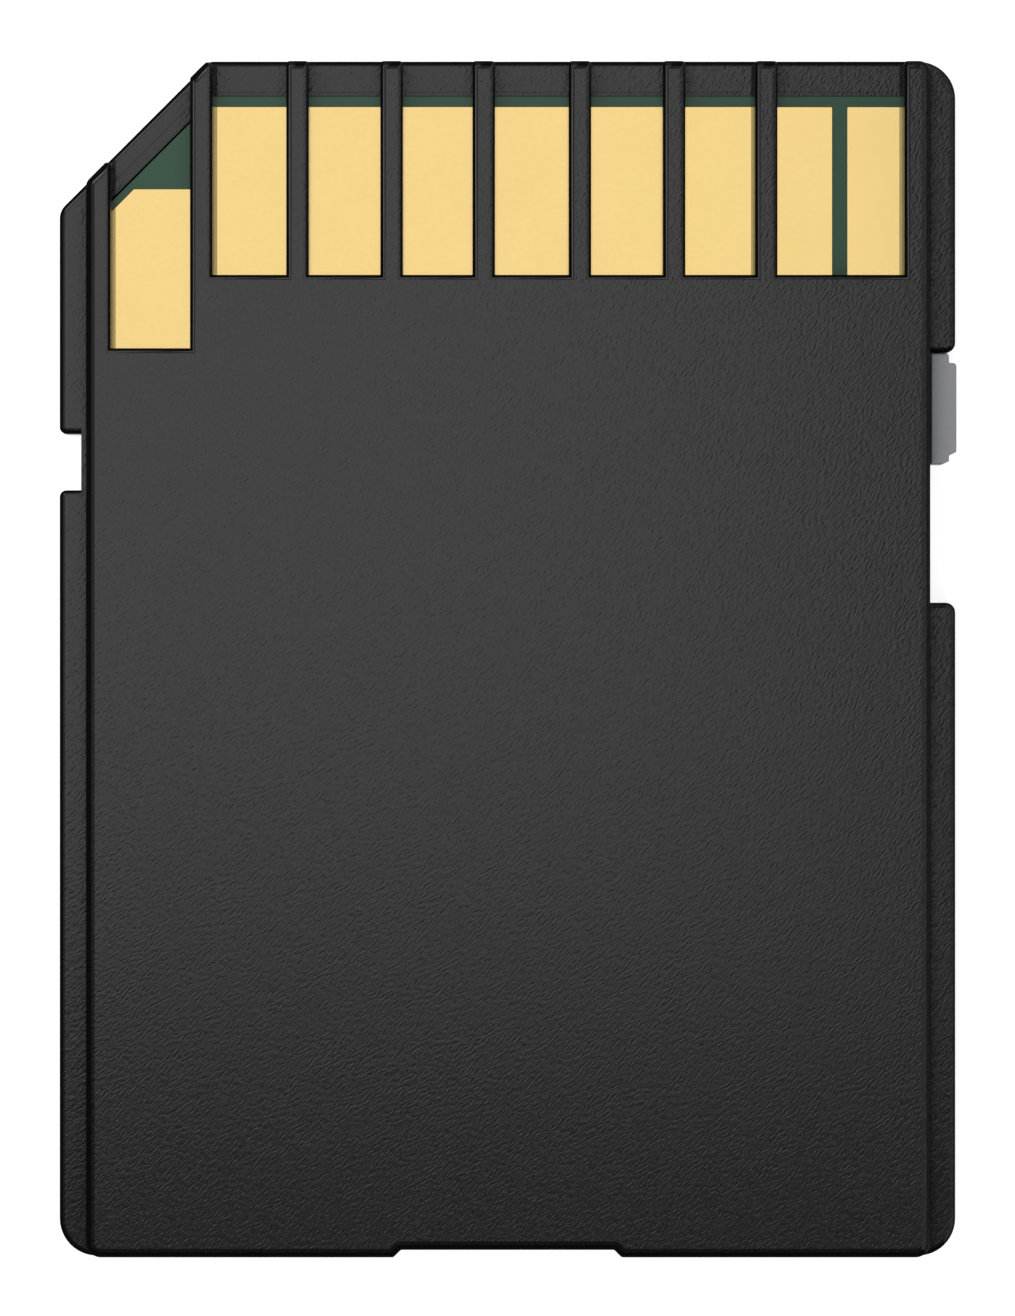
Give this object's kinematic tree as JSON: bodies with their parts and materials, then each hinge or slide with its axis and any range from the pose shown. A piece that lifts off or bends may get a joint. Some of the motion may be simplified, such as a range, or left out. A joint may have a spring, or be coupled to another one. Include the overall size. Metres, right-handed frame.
{
  "type": "memory card",
  "caption": "Flat memory card with a cut corner, ribbed windows over gold contact pads, and a write protect slider in one guide rail.",
  "frame": {"origin": "middle of the label face, which the card lies on", "axes": "+Y towards the leading edge, +Z out of the contact side, +X across the card to the write protect slider's side"},
  "size_m": [0.024, 0.032, 0.0021],
  "materials": {
    "shell_plastic": "dark grey moulded plastic with a fine slanting grain",
    "label_film": "plain pale printed film with nothing on it",
    "slider_plastic": "mid grey moulded plastic",
    "solder_mask": "dark green solder mask",
    "gold_plating": "satin gold plating",
    "chip_resin": "black moulded chip resin",
    "lead_metal": "tinned leads",
    "capacitor_ceramic": "tan ceramic with tinned ends",
    "resistor_body": "black glazed body with tinned ends"
  },
  "bodies": {
    "card": {"back_shell": "shell_plastic", "front_shell": "shell_plastic", "label": "label_film", "circuit_board": "solder_mask", "contact_pad_1": "gold_plating", "contact_pad_2": "gold_plating", "contact_pad_3": "gold_plating", "contact_pad_4": "gold_plating", "contact_pad_5": "gold_plating", "contact_pad_6": "gold_plating", "contact_pad_7": "gold_plating", "contact_pad_8": "gold_plating", "contact_pad_9": "gold_plating", "flash_chip": "chip_resin", "flash_leads": "lead_metal", "controller_chip": "chip_resin", "controller_leads": "lead_metal", "capacitor_1": "capacitor_ceramic", "capacitor_2": "capacitor_ceramic", "capacitor_3": "capacitor_ceramic", "capacitor_4": "capacitor_ceramic", "resistor_1": "resistor_body", "resistor_2": "resistor_body", "resistor_3": "resistor_body", "resistor_4": "resistor_body", "resistor_5": "resistor_body"},
    "slider": {"write_protect_slider": "slider_plastic"}
  },
  "joints": [
    {"name": "write_protect_slide", "type": "slide", "parent": "card", "child": "slider", "axis": [0, -1, 0], "range_m": [0, 0.00369]}
  ]
}
